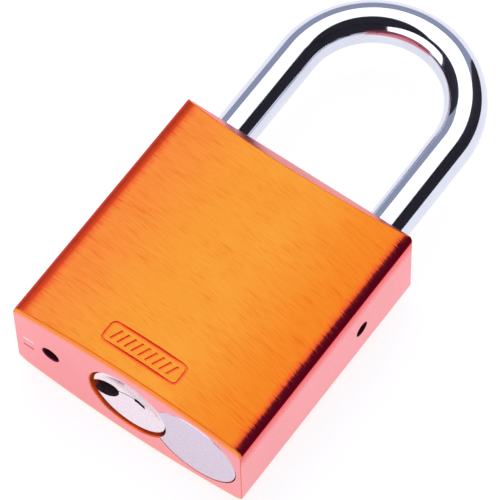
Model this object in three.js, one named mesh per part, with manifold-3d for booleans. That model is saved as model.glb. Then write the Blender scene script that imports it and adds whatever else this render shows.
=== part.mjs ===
// Safety padlock: a 40 mm aluminium body with a steel shackle, locked by two balls and a
// six-pin cylinder. Millimetres. The lock lies on its back: +X runs across the front, +Y runs
// from the key face to the shackle, +Z comes out of the front face.
// The pieces are drawn in a lock frame whose origin is the middle of the key face, so Y is the
// height above the key face; the last group moves that frame to the part's own origin.

import * as THREE from 'three';
import { mergeVertices } from 'three/addons/utils/BufferGeometryUtils.js';
import Module from 'manifold-3d';

const wasm = await Module();
wasm.setup();

// ---- driving dimensions -------------------------------------------------------------------

const BODY_WIDTH = 40;
const BODY_THICKNESS = 20;
const BODY_HEIGHT = 42.2;
const CROWN_RADIUS = 100;
const CROWN_FACETS = 9;
const CORNER_RADIUS = 1.5;
const CORNER_FACETS = 4;
const CHAMFER_HEIGHT = 2.0;
const CHAMFER_DEPTH = 2.3;

const SHACKLE_RADIUS = 3.25;
const LEG_SPACING = 27.5;
const ARCH_CENTRE = 61;
const HEEL_END = 15;
const TOE_END = 29.2;
const SHACKLE_SIDES = 24;
const SHACKLE_STEPS = 45;
const LEG_X = LEG_SPACING / 2;
const OVERALL_LENGTH = ARCH_CENTRE + LEG_X + SHACKLE_RADIUS;

const LEG_BORE_RADIUS = SHACKLE_RADIUS + 0.3;
const HEEL_BORE_FLOOR = 5;
const TOE_BORE_FLOOR = 28.4;
const DRAIN_RADIUS = 1.4;
const SIDE_HOLE_RADIUS = 1.3;
const SIDE_HOLE_HEIGHT = 29.7;
const SIDE_HOLE_OFFSET = -1.2;

const BALL_RADIUS = 3;
const BALL_X = 8.6;
const BALL_HEIGHT = 36;
const BALL_TRAVEL = 3;
const BALL_CLEARANCE = 0.1;
const BALL_SEGMENTS = 20;
const BALL_RINGS = 12;
const BALL_BORE_RADIUS = BALL_RADIUS + 0.2;
const NOTCH_RADIUS = BALL_RADIUS + 0.3;
const NOTCH_HALF_LENGTH = 6.5;
const NECK_RADIUS = 2.15;
const NECK_LOW = 20.2;
const NECK_HIGH = 24.2;

const PLUG_RADIUS = 6.4;
const PLUG_FACE = 0.35;
const PLUG_BACK = 26;
const PLUG_BORE_RADIUS = 6.8;
const PLUG_BORE_END = 26.5;
const DISH_RADIUS = 5.6;
const DISH_DEPTH = 0.6;
const KEYWAY_END = 2.3;
const KEYWAY_DEPTH = 25;
const KEYWAY_WIDTH = 1.0;
const KEYWAY_ROUND_X = -4.4;
const KEYWAY_ROUND_Z = -0.6;
const KEYWAY_ROUND_RADIUS = 2.1;

const HOUSING_X = 11.64;
const HOUSING_RADIUS = 7.25;
const HOUSING_LENGTH = 25.2;
const HOUSING_BORE_RADIUS = HOUSING_RADIUS + 0.25;
const HOUSING_BORE_END = HOUSING_LENGTH + 0.3;

const PIN_COUNT = 6;
const PIN_FIRST = 3.8;
const PIN_PITCH = 3.2;
const PIN_RADIUS = 1.05;
const PIN_TIP_LENGTH = 0.5;
const KEY_PIN_TIP_RADIUS = 0.4;
const DRIVER_TIP_RADIUS = 0.8;
const PIN_SIDES = 12;
const CHAMBER_RADIUS = 1.25;
const KEY_PIN_TOP = 6.3;
const KEY_PIN_LENGTHS = [3.6, 4.4, 3.2, 4.6, 3.8, 4.2];
const DRIVER_START = 6.85;
const DRIVER_LENGTH = 4;
const COVER_INNER = 17.4;
const COVER_OUTER = 18.2;
const COVER_HALF_WIDTH = 1.5;
const COVER_BEFORE = 1.7;
const COVER_BEYOND = 1.2;
const COVER_CLEARANCE = 0.3;

const SPRING_GAP = 0.3;
const PIN_SPRING = { outer: 1, wire: 0.18, turns: 5, steps: 8, sides: 4 };
const SHACKLE_SPRING = { outer: 2.7, wire: 0.45, turns: 5, steps: 14, sides: 6 };

const RING_INNER = 5.6;
const RING_OUTER = 7.2;
const RING_LOW = 24.6;
const RING_HIGH = 25.4;
const RING_MOUTH = THREE.MathUtils.degToRad(55);
const RING_STEPS = 20;
const GROOVE_CLEARANCE = 0.3;

const CAM_LOW = 26.4;
const CAM_COLLAR_TOP = 32.4;
const CAM_TOP = 39;
const CAM_COLLAR_RADIUS = 5.3;
const CAM_STEPS = 24;
const WAIST_STEPS = 3;
const CAM_BORE_RADIUS = 5.9;
const CAM_BORE_END = 39.4;
const TANG_WIDTH = 7;
const TANG_THICKNESS = 2;
const TANG_TOP = 31;
const TANG_CLEARANCE = 0.3;

const SCREW_RADIUS = 1.3;
const SCREW_LOW = 21.9;
const SCREW_HEAD_LOW = 27.15;
const SCREW_HEAD_HIGH = 28.1;
const SCREW_HEAD_RADIUS = 2.4;
const SCREW_CLEARANCE = 0.3;
const SCREW_TIP_CLEARANCE = 0.4;
const SCREW_NECK_OVERLAP = 0.1;
const DRIVE_HALF_WIDTH = 0.35;
const DRIVE_DEPTH = 0.5;

const FINE = 48;
const MEDIUM = 32;
const COARSE = 16;
const PAST = 1;
const REPEAT_DISTANCE = 1e-4;

// ---- solids -------------------------------------------------------------------------------

function toSolid(geometry) {
  const bare = geometry.clone();
  bare.deleteAttribute('normal');
  bare.deleteAttribute('uv');
  const merged = mergeVertices(bare);
  const corners = merged.index.array;
  const triVerts = [];
  for (let i = 0; i < corners.length; i += 3) {
    const [a, b, c] = corners.slice(i, i + 3);
    if (a !== b && b !== c && c !== a) {
      triVerts.push(a, b, c);
    }
  }
  return new wasm.Manifold(new wasm.Mesh({
    numProp: 3,
    vertProperties: new Float32Array(merged.attributes.position.array),
    triVerts: new Uint32Array(triVerts),
  }));
}

function toGeometry(solid) {
  const mesh = solid.getMesh();
  const geometry = new THREE.BufferGeometry();
  geometry.setAttribute('position', new THREE.BufferAttribute(mesh.vertProperties, 3));
  geometry.setIndex(new THREE.BufferAttribute(mesh.triVerts, 1));
  geometry.computeVertexNormals();
  return geometry;
}

function cut(solid, ...tools) {
  return tools.reduce((left, tool) => left.subtract(tool), solid);
}

function cylinderAlongY(radius, x, low, high, sides = MEDIUM, z = 0) {
  const geometry = new THREE.CylinderGeometry(radius, radius, high - low, sides);
  geometry.translate(x, (low + high) / 2, z);
  return toSolid(geometry);
}

function cylinderAlongX(radius, y, z, low, high, sides = COARSE) {
  const geometry = new THREE.CylinderGeometry(radius, radius, high - low, sides);
  geometry.rotateZ(-Math.PI / 2);
  geometry.translate((low + high) / 2, y, z);
  return toSolid(geometry);
}

function box(xLow, xHigh, yLow, yHigh, halfThickness) {
  const geometry = new THREE.BoxGeometry(xHigh - xLow, yHigh - yLow, 2 * halfThickness);
  geometry.translate((xLow + xHigh) / 2, (yLow + yHigh) / 2, 0);
  return toSolid(geometry);
}

// An outline in X and Z, raised along Y from low to high.
function raised(points, low, high) {
  const geometry = new THREE.ExtrudeGeometry(new THREE.Shape(points), {
    depth: high - low,
    bevelEnabled: false,
  });
  geometry.rotateX(-Math.PI / 2);
  geometry.translate(0, low, 0);
  return toSolid(geometry);
}

// A profile of radius and height, turned about the Y axis through x.
function turned(profile, x, sides = MEDIUM) {
  const points = profile.map(([radius, height]) => new THREE.Vector2(radius, height));
  const geometry = new THREE.LatheGeometry(points, sides);
  geometry.translate(x, 0, 0);
  return toSolid(geometry);
}

function arcPoints(x, y, radius, start, end, steps) {
  const points = [];
  for (let i = 0; i <= steps; i += 1) {
    const angle = start + (end - start) * i / steps;
    points.push(new THREE.Vector2(x + radius * Math.cos(angle), y + radius * Math.sin(angle)));
  }
  return points;
}

function withoutRepeats(points) {
  return points.filter((p, i) => p.distanceTo(points.at(i - 1)) > REPEAT_DISTANCE);
}

// A round wire wound about the Y axis from y = 0, its turns evenly spaced.
class Coil extends THREE.Curve {
  constructor(radius, length, turns) {
    super();
    this.radius = radius;
    this.length = length;
    this.turns = turns;
  }

  getPoint(t, target = new THREE.Vector3()) {
    const angle = 2 * Math.PI * this.turns * t;
    return target.set(
      this.radius * Math.cos(angle),
      this.length * t,
      this.radius * Math.sin(angle),
    );
  }
}

function spring({ outer, wire, turns, steps, sides }, length) {
  const section = new THREE.Shape(arcPoints(0, 0, wire, 0, 2 * Math.PI, sides).slice(0, -1));
  const geometry = new THREE.ExtrudeGeometry(section, {
    steps: turns * steps,
    bevelEnabled: false,
    extrudePath: new Coil(outer - wire, length - 2 * wire, turns),
  });
  geometry.translate(0, wire, 0);
  return geometry;
}

// ---- materials ----------------------------------------------------------------------------

function anodised() {
  return new THREE.MeshStandardMaterial({ color: 0xf3862f, roughness: 0.35, metalness: 0.8 });
}

function chromed() {
  return new THREE.MeshStandardMaterial({ color: 0xe6e8ef, roughness: 0.08, metalness: 1 });
}

function nickelled() {
  return new THREE.MeshStandardMaterial({ color: 0xdcd2df, roughness: 0.3, metalness: 0.9 });
}

function brass() {
  return new THREE.MeshStandardMaterial({ color: 0xc9a24b, roughness: 0.35, metalness: 0.9 });
}

function steel() {
  return new THREE.MeshStandardMaterial({ color: 0x9a9ea6, roughness: 0.35, metalness: 0.95 });
}

// ---- lock body ----------------------------------------------------------------------------

// Flat sides, and a front and back crowned about a far axis, with round corners tangent to
// both. The middle facet of each crown is flat, at exactly half the thickness.
function bodyOutline() {
  const cornerX = BODY_WIDTH / 2 - CORNER_RADIUS;
  const reach = CROWN_RADIUS - CORNER_RADIUS;
  const spread = Math.asin(cornerX / reach);
  const crownCentre = BODY_THICKNESS / 2 - CROWN_RADIUS * Math.cos(spread / CROWN_FACETS);
  const cornerY = crownCentre + Math.sqrt(reach ** 2 - cornerX ** 2);
  const quarter = Math.PI / 2;
  const corner = (x, y, start, end) => arcPoints(x, y, CORNER_RADIUS, start, end, CORNER_FACETS);
  const crown = (y, middle) => arcPoints(
    0, y, CROWN_RADIUS, middle - spread, middle + spread, CROWN_FACETS,
  );
  return withoutRepeats([
    ...corner(cornerX, cornerY, 0, quarter - spread),
    ...crown(crownCentre, quarter),
    ...corner(-cornerX, cornerY, quarter + spread, 2 * quarter),
    ...corner(-cornerX, -cornerY, 2 * quarter, 3 * quarter - spread),
    ...crown(-crownCentre, 3 * quarter),
    ...corner(cornerX, -cornerY, 3 * quarter + spread, 4 * quarter),
  ]);
}

// A wedge that planes off the shackle end's long edge, on the front (side 1) or back (-1).
function chamferWedge(side) {
  const half = BODY_THICKNESS / 2;
  const slope = CHAMFER_DEPTH / CHAMFER_HEIGHT;
  const outside = half + 2;
  const above = BODY_HEIGHT + PAST;
  const lowest = BODY_HEIGHT - CHAMFER_HEIGHT - (outside - half) / slope;
  const innermost = half - CHAMFER_DEPTH - PAST * slope;
  const shape = new THREE.Shape([
    new THREE.Vector2(-side * outside, lowest),
    new THREE.Vector2(-side * innermost, above),
    new THREE.Vector2(-side * outside, above),
  ]);
  const geometry = new THREE.ExtrudeGeometry(shape, {
    depth: BODY_WIDTH + 2 * PAST,
    bevelEnabled: false,
  });
  geometry.rotateY(Math.PI / 2);
  geometry.translate(-BODY_WIDTH / 2 - PAST, 0, 0);
  return toSolid(geometry);
}

function lockBody() {
  const top = BODY_HEIGHT + PAST;
  const headSeat = SCREW_HEAD_LOW - SCREW_CLEARANCE;
  const headRoom = SCREW_HEAD_RADIUS + SCREW_CLEARANCE;
  const grooveRadius = RING_OUTER + GROOVE_CLEARANCE;
  const grooveLow = RING_LOW - GROOVE_CLEARANCE;
  const grooveHigh = RING_HIGH + GROOVE_CLEARANCE;
  const shankRoom = SCREW_RADIUS + SCREW_CLEARANCE;
  return toGeometry(cut(
    raised(bodyOutline(), 0, BODY_HEIGHT),
    chamferWedge(1),
    chamferWedge(-1),
    cylinderAlongY(PLUG_BORE_RADIUS, 0, -PAST, PLUG_BORE_END, FINE),
    cylinderAlongY(grooveRadius, 0, grooveLow, grooveHigh, FINE),
    cylinderAlongY(CAM_BORE_RADIUS, 0, PLUG_BORE_END - PAST, CAM_BORE_END, MEDIUM),
    cylinderAlongY(HOUSING_BORE_RADIUS, HOUSING_X, -PAST, HOUSING_BORE_END, FINE),
    cylinderAlongY(LEG_BORE_RADIUS, -LEG_X, HEEL_BORE_FLOOR, top),
    cylinderAlongY(DRAIN_RADIUS, -LEG_X, -PAST, HEEL_BORE_FLOOR + PAST, COARSE),
    cylinderAlongY(LEG_BORE_RADIUS, LEG_X, TOE_BORE_FLOOR, top),
    cylinderAlongY(headRoom, LEG_X, headSeat, TOE_BORE_FLOOR + PAST, COARSE),
    cylinderAlongY(shankRoom, LEG_X, HOUSING_LENGTH, headSeat + PAST, COARSE),
    cylinderAlongX(SIDE_HOLE_RADIUS, SIDE_HOLE_HEIGHT, SIDE_HOLE_OFFSET, LEG_X, top),
    cylinderAlongX(BALL_BORE_RADIUS, BALL_HEIGHT, 0, -LEG_X, LEG_X, MEDIUM),
  ));
}

// ---- shackle and its locking parts --------------------------------------------------------

// The bow's middle line: up the long heel leg, over the arch and down the short toe leg.
function shacklePath() {
  const path = new THREE.CurvePath();
  const heelTop = new THREE.Vector3(-LEG_X, ARCH_CENTRE, 0);
  const toeTop = new THREE.Vector3(LEG_X, ARCH_CENTRE, 0);
  path.add(new THREE.LineCurve3(new THREE.Vector3(-LEG_X, HEEL_END, 0), heelTop));
  path.add(new Arch());
  path.add(new THREE.LineCurve3(toeTop, new THREE.Vector3(LEG_X, TOE_END, 0)));
  return path;
}

class Arch extends THREE.Curve {
  getPoint(t, target = new THREE.Vector3()) {
    const angle = Math.PI * (1 - t);
    return target.set(LEG_X * Math.cos(angle), ARCH_CENTRE + LEG_X * Math.sin(angle), 0);
  }
}

// The pocket that a ball's nose enters. It is longer than the ball, so that the ball can draw
// back while the shackle rises.
function ballNotch(side) {
  const geometry = new THREE.SphereGeometry(1, MEDIUM, COARSE);
  geometry.scale(NOTCH_RADIUS, NOTCH_HALF_LENGTH, NOTCH_RADIUS);
  geometry.translate(side * BALL_X, BALL_HEIGHT, 0);
  return toSolid(geometry);
}

function shackle() {
  const section = new THREE.Shape(
    arcPoints(0, 0, SHACKLE_RADIUS, 0, 2 * Math.PI, SHACKLE_SIDES).slice(0, -1),
  );
  const bow = new THREE.ExtrudeGeometry(section, {
    steps: SHACKLE_STEPS,
    bevelEnabled: false,
    extrudePath: shacklePath(),
  });
  const outside = SHACKLE_RADIUS + PAST;
  const neck = turned([
    [NECK_RADIUS, NECK_LOW],
    [outside, NECK_LOW],
    [outside, NECK_HIGH],
    [NECK_RADIUS, NECK_HIGH],
    [NECK_RADIUS, NECK_LOW],
  ], -LEG_X);
  return toGeometry(cut(toSolid(bow), ballNotch(-1), ballNotch(1), neck));
}

function ball() {
  return new THREE.SphereGeometry(BALL_RADIUS, BALL_SEGMENTS, BALL_RINGS);
}

// A quarter of the cam's edge, from the lobe's crest to the waist. A ball's centre draws in
// evenly as the cam turns; the edge runs beside that line at the ball's radius and a gap, and
// ends in the ball's own round at the waist.
function camQuarter() {
  const offset = BALL_RADIUS + BALL_CLEARANCE;
  const fall = BALL_TRAVEL / (Math.PI / 2);
  const points = [];
  for (let i = 0; i <= CAM_STEPS; i += 1) {
    const angle = (Math.PI / 2) * i / CAM_STEPS;
    const reach = BALL_X - fall * angle;
    const lean = Math.atan2(fall, reach);
    points.push(new THREE.Vector2(
      reach * Math.cos(angle) - offset * Math.cos(angle + lean),
      reach * Math.sin(angle) - offset * Math.sin(angle + lean),
    ));
  }
  const beyondCrest = points.filter((p) => p.y > 0);
  const lastReach = BALL_X - BALL_TRAVEL;
  const lastLean = Math.atan2(fall, lastReach);
  const down = -Math.PI / 2;
  const waist = arcPoints(0, lastReach, offset, down + lastLean, down, WAIST_STEPS);
  return [...beyondCrest, ...waist];
}

function camOutline() {
  const quarter = camQuarter();
  const half = [
    ...quarter,
    ...quarter.toReversed().map((p) => new THREE.Vector2(-p.x, p.y)),
  ];
  const otherHalf = half.map((p) => new THREE.Vector2(-p.x, -p.y));
  return withoutRepeats([...half, ...otherHalf]);
}

function lockingCam() {
  const slotHalfWidth = TANG_WIDTH / 2 + TANG_CLEARANCE;
  const slotHalfThickness = TANG_THICKNESS / 2 + TANG_CLEARANCE;
  const slotTop = TANG_TOP + TANG_CLEARANCE;
  const collar = cylinderAlongY(CAM_COLLAR_RADIUS, 0, CAM_LOW, CAM_COLLAR_TOP);
  const lobes = raised(camOutline(), CAM_COLLAR_TOP - PAST, CAM_TOP);
  const slot = box(-slotHalfWidth, slotHalfWidth, CAM_LOW - PAST, slotTop, slotHalfThickness);
  return toGeometry(cut(collar.add(lobes), slot));
}

function shackleSpring() {
  const geometry = spring(SHACKLE_SPRING, HEEL_END - HEEL_BORE_FLOOR - 2 * SPRING_GAP);
  geometry.translate(-LEG_X, HEEL_BORE_FLOOR + SPRING_GAP, 0);
  return geometry;
}

// ---- cylinder -----------------------------------------------------------------------------

function pinHeight(index) {
  return PIN_FIRST + PIN_PITCH * index;
}

function chambers(low, high) {
  const drilled = [];
  for (let i = 0; i < PIN_COUNT; i += 1) {
    drilled.push(cylinderAlongX(CHAMBER_RADIUS, pinHeight(i), 0, low, high));
  }
  return drilled;
}

// The keyway runs from the rim to past the middle, and is wide and round near the rim.
function keyway() {
  const outside = -PLUG_RADIUS - PAST;
  const slot = box(outside, KEYWAY_END, -PAST, KEYWAY_DEPTH, KEYWAY_WIDTH / 2);
  const round = cylinderAlongY(
    KEYWAY_ROUND_RADIUS, KEYWAY_ROUND_X, -PAST, KEYWAY_DEPTH, COARSE, KEYWAY_ROUND_Z,
  );
  return slot.add(round);
}

function cylinderPlug() {
  const dish = turned([
    [0, PLUG_FACE - PAST],
    [DISH_RADIUS, PLUG_FACE - PAST],
    [DISH_RADIUS, PLUG_FACE],
    [0, PLUG_FACE + DISH_DEPTH],
  ], 0);
  const outside = PLUG_RADIUS + PAST;
  const grooveFloor = RING_INNER - GROOVE_CLEARANCE;
  const grooveLow = RING_LOW - GROOVE_CLEARANCE;
  const grooveHigh = RING_HIGH + GROOVE_CLEARANCE;
  const groove = turned([
    [grooveFloor, grooveLow],
    [outside, grooveLow],
    [outside, grooveHigh],
    [grooveFloor, grooveHigh],
    [grooveFloor, grooveLow],
  ], 0, FINE);
  const barrel = cylinderAlongY(PLUG_RADIUS, 0, PLUG_FACE, PLUG_BACK, FINE);
  const halfTang = TANG_WIDTH / 2;
  const tang = box(-halfTang, halfTang, PLUG_BACK - PAST / 2, TANG_TOP, TANG_THICKNESS / 2);
  return toGeometry(cut(
    barrel.add(tang),
    dish,
    groove,
    keyway(),
    ...chambers(0, PLUG_RADIUS + PAST),
  ));
}

function pinHousing() {
  const shankRoom = SCREW_RADIUS + SCREW_CLEARANCE;
  const shankLow = SCREW_LOW - SCREW_TIP_CLEARANCE;
  const coverLow = pinHeight(0) - COVER_BEFORE - COVER_CLEARANCE;
  const coverHigh = pinHeight(PIN_COUNT - 1) + COVER_BEYOND + COVER_CLEARANCE;
  const coverInner = COVER_INNER - COVER_CLEARANCE;
  const coverRoom = COVER_HALF_WIDTH + COVER_CLEARANCE;
  return toGeometry(cut(
    cylinderAlongY(HOUSING_RADIUS, HOUSING_X, 0, HOUSING_LENGTH, FINE),
    cylinderAlongY(PLUG_BORE_RADIUS, 0, -PAST, HOUSING_LENGTH + PAST, FINE),
    cylinderAlongY(shankRoom, LEG_X, shankLow, HOUSING_LENGTH + PAST, COARSE),
    box(coverInner, BODY_WIDTH / 2, coverLow, coverHigh, coverRoom),
    ...chambers(PLUG_BORE_RADIUS - 2 * PAST, COVER_INNER),
  ));
}

function chamberCover() {
  const low = pinHeight(0) - COVER_BEFORE;
  const high = pinHeight(PIN_COUNT - 1) + COVER_BEYOND;
  return toGeometry(box(COVER_INNER, COVER_OUTER, low, high, COVER_HALF_WIDTH));
}

// A pin lying along X, from its pointed or rounded inner end to its flat outer end.
function pin(inner, outer, tipRadius, height) {
  const geometry = new THREE.LatheGeometry([
    new THREE.Vector2(0, 0),
    new THREE.Vector2(tipRadius, 0),
    new THREE.Vector2(PIN_RADIUS, PIN_TIP_LENGTH),
    new THREE.Vector2(PIN_RADIUS, outer - inner),
    new THREE.Vector2(0, outer - inner),
  ], PIN_SIDES);
  geometry.rotateZ(-Math.PI / 2);
  geometry.translate(inner, height, 0);
  return geometry;
}

function pinSpring(height) {
  const start = DRIVER_START + DRIVER_LENGTH + SPRING_GAP;
  const geometry = spring(PIN_SPRING, COVER_INNER - SPRING_GAP - start);
  geometry.rotateZ(-Math.PI / 2);
  geometry.translate(start, height, 0);
  return geometry;
}

// A flat ring with a mouth towards the pins, sprung into the body's and the plug's grooves.
function retainingRing() {
  const start = RING_MOUTH;
  const end = 2 * Math.PI - RING_MOUTH;
  return toGeometry(raised([
    ...arcPoints(0, 0, RING_OUTER, start, end, RING_STEPS),
    ...arcPoints(0, 0, RING_INNER, end, start, RING_STEPS),
  ], RING_LOW, RING_HIGH));
}

function retainingScrew() {
  const shankHigh = SCREW_HEAD_LOW + SCREW_NECK_OVERLAP;
  const shank = cylinderAlongY(SCREW_RADIUS, LEG_X, SCREW_LOW, shankHigh, COARSE);
  const head = cylinderAlongY(
    SCREW_HEAD_RADIUS, LEG_X, SCREW_HEAD_LOW, SCREW_HEAD_HIGH, COARSE,
  );
  const drive = box(
    LEG_X - SCREW_HEAD_RADIUS - PAST,
    LEG_X + SCREW_HEAD_RADIUS + PAST,
    SCREW_HEAD_HIGH - DRIVE_DEPTH,
    SCREW_HEAD_HIGH + PAST,
    DRIVE_HALF_WIDTH,
  );
  return toGeometry(cut(shank.add(head), drive));
}

// ---- assembly -----------------------------------------------------------------------------

const lock = new THREE.Group();
lock.position.set(0, -OVERALL_LENGTH / 2, BODY_THICKNESS / 2);

function addPiece(name, geometry, material, x = 0, y = 0) {
  const mesh = new THREE.Mesh(geometry, material);
  mesh.name = name;
  mesh.position.set(x, y, 0);
  lock.add(mesh);
}

addPiece('lock_body', lockBody(), anodised());
addPiece('shackle', shackle(), chromed());
addPiece('lock_ball_heel', ball(), steel(), -BALL_X, BALL_HEIGHT);
addPiece('lock_ball_toe', ball(), steel(), BALL_X, BALL_HEIGHT);
addPiece('locking_cam', lockingCam(), steel());
addPiece('shackle_spring', shackleSpring(), steel());
addPiece('cylinder_plug', cylinderPlug(), nickelled());
addPiece('pin_housing', pinHousing(), nickelled());
addPiece('pin_chamber_cover', chamberCover(), brass());
addPiece('plug_retaining_ring', retainingRing(), steel());
addPiece('housing_retaining_screw', retainingScrew(), steel());

for (let i = 0; i < PIN_COUNT; i += 1) {
  const number = i + 1;
  const height = pinHeight(i);
  const keyPinStart = KEY_PIN_TOP - KEY_PIN_LENGTHS[i];
  const driverEnd = DRIVER_START + DRIVER_LENGTH;
  const keyPin = pin(keyPinStart, KEY_PIN_TOP, KEY_PIN_TIP_RADIUS, height);
  const driverPin = pin(DRIVER_START, driverEnd, DRIVER_TIP_RADIUS, height);
  addPiece(`key_pin_${number}`, keyPin, brass());
  addPiece(`driver_pin_${number}`, driverPin, brass());
  addPiece(`pin_spring_${number}`, pinSpring(height), steel());
}

const part = new THREE.Group();
part.add(lock);

export default part;
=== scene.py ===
import math

import bmesh
import bpy
from mathutils import Matrix, Vector


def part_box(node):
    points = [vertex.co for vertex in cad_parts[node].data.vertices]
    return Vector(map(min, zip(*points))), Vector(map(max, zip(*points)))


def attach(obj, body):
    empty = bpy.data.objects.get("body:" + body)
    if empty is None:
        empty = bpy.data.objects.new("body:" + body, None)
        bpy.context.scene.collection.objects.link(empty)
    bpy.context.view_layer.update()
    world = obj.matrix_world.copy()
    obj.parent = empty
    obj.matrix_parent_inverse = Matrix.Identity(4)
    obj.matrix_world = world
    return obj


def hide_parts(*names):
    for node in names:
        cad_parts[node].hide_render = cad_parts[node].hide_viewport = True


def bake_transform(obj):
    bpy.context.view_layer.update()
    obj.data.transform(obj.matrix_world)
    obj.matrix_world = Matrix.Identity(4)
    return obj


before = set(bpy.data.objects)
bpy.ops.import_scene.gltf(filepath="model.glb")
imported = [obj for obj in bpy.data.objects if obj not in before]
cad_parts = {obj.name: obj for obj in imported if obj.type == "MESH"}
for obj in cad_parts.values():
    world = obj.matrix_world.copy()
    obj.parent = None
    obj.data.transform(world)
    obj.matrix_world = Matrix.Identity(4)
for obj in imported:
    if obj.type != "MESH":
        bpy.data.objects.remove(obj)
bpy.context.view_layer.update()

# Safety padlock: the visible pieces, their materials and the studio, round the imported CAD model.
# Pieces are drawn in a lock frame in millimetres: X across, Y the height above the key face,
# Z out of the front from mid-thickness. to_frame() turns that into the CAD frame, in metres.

MM = 0.001
BODY_LOW, BODY_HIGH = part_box("lock_body")
KEY_FACE = BODY_LOW.y
MID_Z = (BODY_LOW.z + BODY_HIGH.z) / 2


def to_frame(point):
    return Vector((point[0] * MM, KEY_FACE + point[1] * MM, MID_Z + point[2] * MM))


def node_box(name):
    """A CAD node's lowest and highest corners in the lock frame, in millimetres."""
    low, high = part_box(name)
    origin = Vector((0, KEY_FACE, MID_Z))
    return (low - origin) / MM, (high - origin) / MM


# ---- sizes, in millimetres ----------------------------------------------------------------

body_high = node_box("lock_body")[1]
BODY_HALF_WIDTH = body_high.x
BODY_HALF_THICKNESS = body_high.z
BODY_HEIGHT = body_high.y
CROWN_RADIUS = 100
CORNER_RADIUS = 1.5
SIDE_BAND = 0.3
BACK_CORNER_SATIN = 0.1
BRUSHING_TURN = math.radians(-7)
CHAMFER_HEIGHT = 2.0
CHAMFER_DEPTH = 2.3
KEY_BREAK_DEPTH = 0.8
KEY_BREAK_HEIGHT = 0.18
KEY_LINE = 0.2
RIM_WIDTH = 0.07

shackle_low, shackle_high = node_box("shackle")
SHACKLE_RADIUS = shackle_high.z
LEG_X = shackle_high.x - SHACKLE_RADIUS
ARCH_CENTRE = shackle_high.y - LEG_X - SHACKLE_RADIUS
HEEL_END = shackle_low.y
TOE_END = 29.2
NECK_RADIUS = 2.15
NECK_LOW = 20.2
NECK_HIGH = 24.2
LEG_BORE_RADIUS = SHACKLE_RADIUS + 0.18
HEEL_BORE_FLOOR = 5
TOE_BORE_FLOOR = 28.4
DRAIN_RADIUS = 1.4
SIDE_HOLE_RADIUS = 1.3
SIDE_HOLE_HEIGHT = 29.7
SIDE_HOLE_OFFSET = -1.2
HOLE_BREAK = 0.15
BADGE_X = 0.25
BADGE_Y = 4.4
BADGE_HALF_WIDTH = 6.5
BADGE_HALF_HEIGHT = 1.7
BADGE_CORNER = 0.8
BADGE_LINE = 0.48
BADGE_DEPTH = 0.22

ball_low, ball_high = node_box("lock_ball_toe")
BALL_RADIUS = (ball_high.y - ball_low.y) / 2
BALL_X = (ball_low.x + ball_high.x) / 2
BALL_HEIGHT = (ball_low.y + ball_high.y) / 2
NOTCH_RADIUS = BALL_RADIUS + 0.3
NOTCH_HALF_LENGTH = 6.5

plug_low, plug_high = node_box("cylinder_plug")
PLUG_RADIUS = plug_high.z
PLUG_FACE = plug_low.y
PLUG_BORE_RADIUS = 6.8
PLUG_BORE_END = 26.5
PLUG_BARREL_END = 26
KEYWAY_END = 2.3
KEYWAY_HALF_WIDTH = 0.5
KEYWAY_WEB_END = 0.3
KEYWAY_WEB_HALF_WIDTH = 0.1
KEYWAY_DEPTH = 24
KEYWAY_ROUND_X = -4.4
KEYWAY_ROUND_Z = -0.6
KEYWAY_ROUND_RADIUS = 2.1
TANG_HALF_WIDTH = 3.5
TANG_HALF_THICKNESS = 1
CAM_BORE_RADIUS = 5.9
CAM_BORE_END = 39.4

housing_high = node_box("pin_housing")[1]
HOUSING_LENGTH = housing_high.y
HOUSING_X = housing_high.x - housing_high.z
HOUSING_RADIUS = housing_high.z + 0.06
HOUSING_BORE_RADIUS = HOUSING_RADIUS + 0.16
HOUSING_BORE_END = HOUSING_LENGTH + 0.3

RING_INNER = 5.6
RING_OUTER = 7.2
RING_LOW = 24.6
RING_HIGH = 25.4
RING_MOUTH = math.radians(55)
RING_GAP = 0.3

PIN_COUNT = 6
PIN_RADIUS = 1.05
CHAMBER_RADIUS = 1.2
PIN_SPRING_TURNS = 7
PIN_SPRING_WIRE = 0.16
SHACKLE_SPRING_TURNS = 6
SHACKLE_SPRING_WIRE = 0.45
SPRING_STEPS_PER_TURN = 28
CLOSED_TURN = 0.8
CLOSED_TURN_RISE = 0.04
COVER_CLEARANCE = 0.3

CAM_COLLAR_TOP = 32.4
CAM_COLLAR_RADIUS = 5.3
CAM_GAP = 0.1
BALL_TRAVEL = 3

SCREW_RADIUS = 1.3
SCREW_HEAD_LOW = 27.15
SCREW_CLEARANCE = 0.3


# ---- mesh building ------------------------------------------------------------------------

def placed(name, data):
    """A new object in the scene."""
    made = bpy.data.objects.new(name, data)
    bpy.context.scene.collection.objects.link(made)
    return made


def clean(mesh, merge, shortest):
    """Merges points closer than merge, drops edges under shortest, both in metres, and turns
    every face outwards."""
    built = bmesh.new()
    built.from_mesh(mesh)
    bmesh.ops.remove_doubles(built, verts=built.verts, dist=merge)
    bmesh.ops.dissolve_degenerate(built, edges=built.edges, dist=shortest)
    bmesh.ops.recalc_face_normals(built, faces=built.faces)
    built.to_mesh(mesh)
    built.free()


def new_object(name, points, faces, material=None):
    mesh = bpy.data.meshes.new(name)
    mesh.from_pydata([to_frame(p) for p in points], [], faces)
    clean(mesh, 1e-7, 1e-7)
    if material is not None:
        mesh.materials.append(material)
    return placed(name, mesh)


def apply_modifiers(piece):
    graph = bpy.context.evaluated_depsgraph_get()
    mesh = bpy.data.meshes.new_from_object(piece.evaluated_get(graph), depsgraph=graph)
    piece.modifiers.clear()
    old = piece.data
    mesh.name = old.name
    piece.data = mesh
    bpy.data.meshes.remove(old)


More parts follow.
